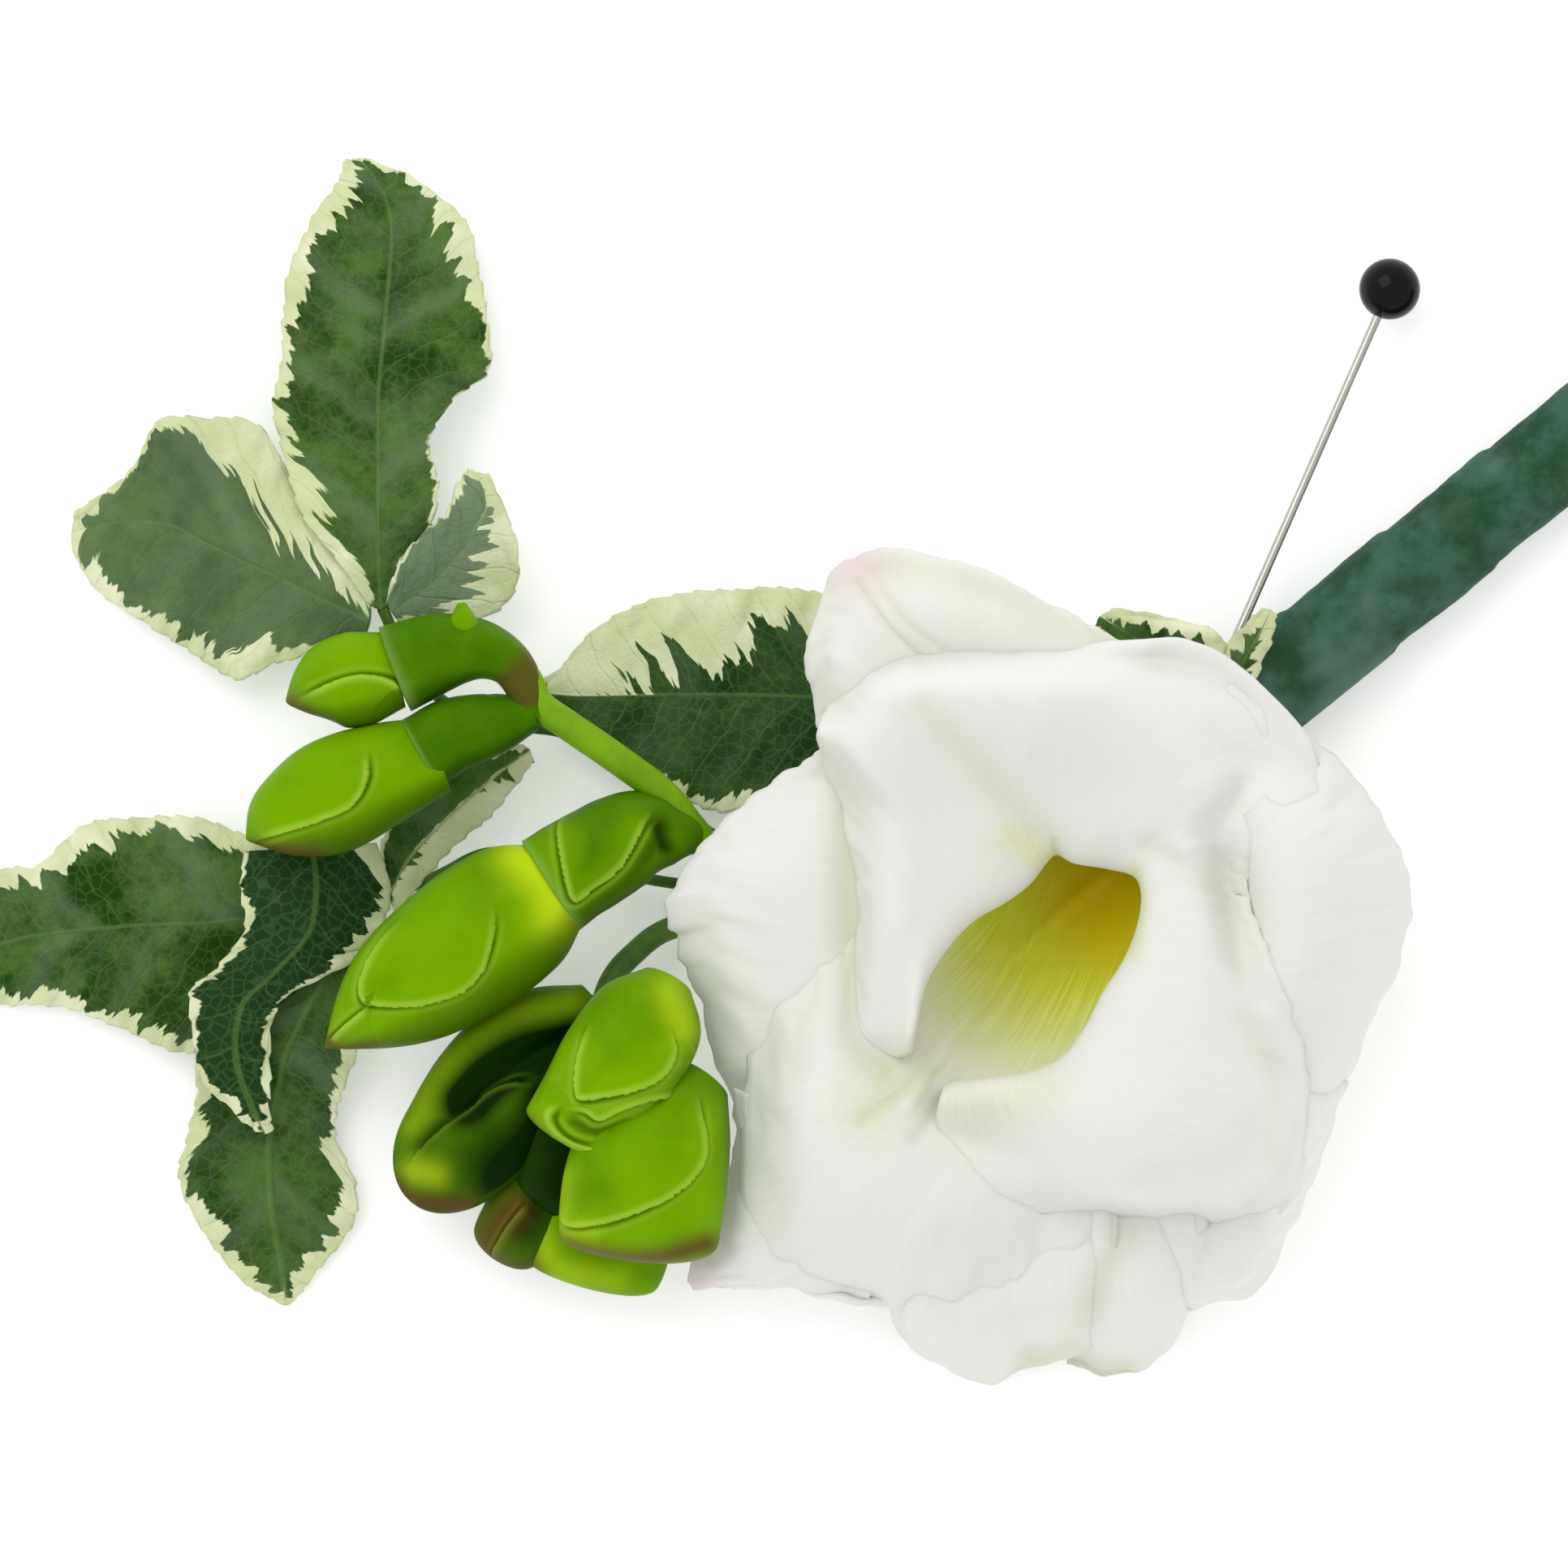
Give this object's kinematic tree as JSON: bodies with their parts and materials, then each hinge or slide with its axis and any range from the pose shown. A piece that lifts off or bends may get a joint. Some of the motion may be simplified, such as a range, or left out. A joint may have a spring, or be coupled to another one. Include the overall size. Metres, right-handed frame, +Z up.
{
  "type": "boutonniere",
  "caption": "Boutonniere lying on its back: a white double freesia bloom with green buds, variegated lobed leaves, a tape-wrapped stem and a round-headed pin.",
  "frame": {"origin": "bottom centre of the whole posy's box, on the surface it lies on", "axes": "+X along the posy from the leaf tips towards the taped stem, +Y across it towards the pin's head, +Z up out of the bloom's face"},
  "size_m": [0.117, 0.0802, 0.0241],
  "materials": {
    "petal": "soft white petal",
    "bud": "waxy green bud",
    "leaf": "satin dark green with a cream edge",
    "tape": "waxed crepe paper, dark green",
    "wire": "green lacquer",
    "pin_steel": "bright steel",
    "pin_head": "gloss black"
  },
  "bodies": {
    "root": {"stem_tape": "tape", "pin_shaft": "pin_steel", "pin_head": "pin_head", "florist_wire": "wire", "bloom": "petal", "bud_spike": "bud", "bud_spray": "bud", "leaf_upper": "leaf", "leaf_lower": "leaf", "leaf_back": "leaf", "leaf_small": "leaf"}
  },
  "joints": []
}
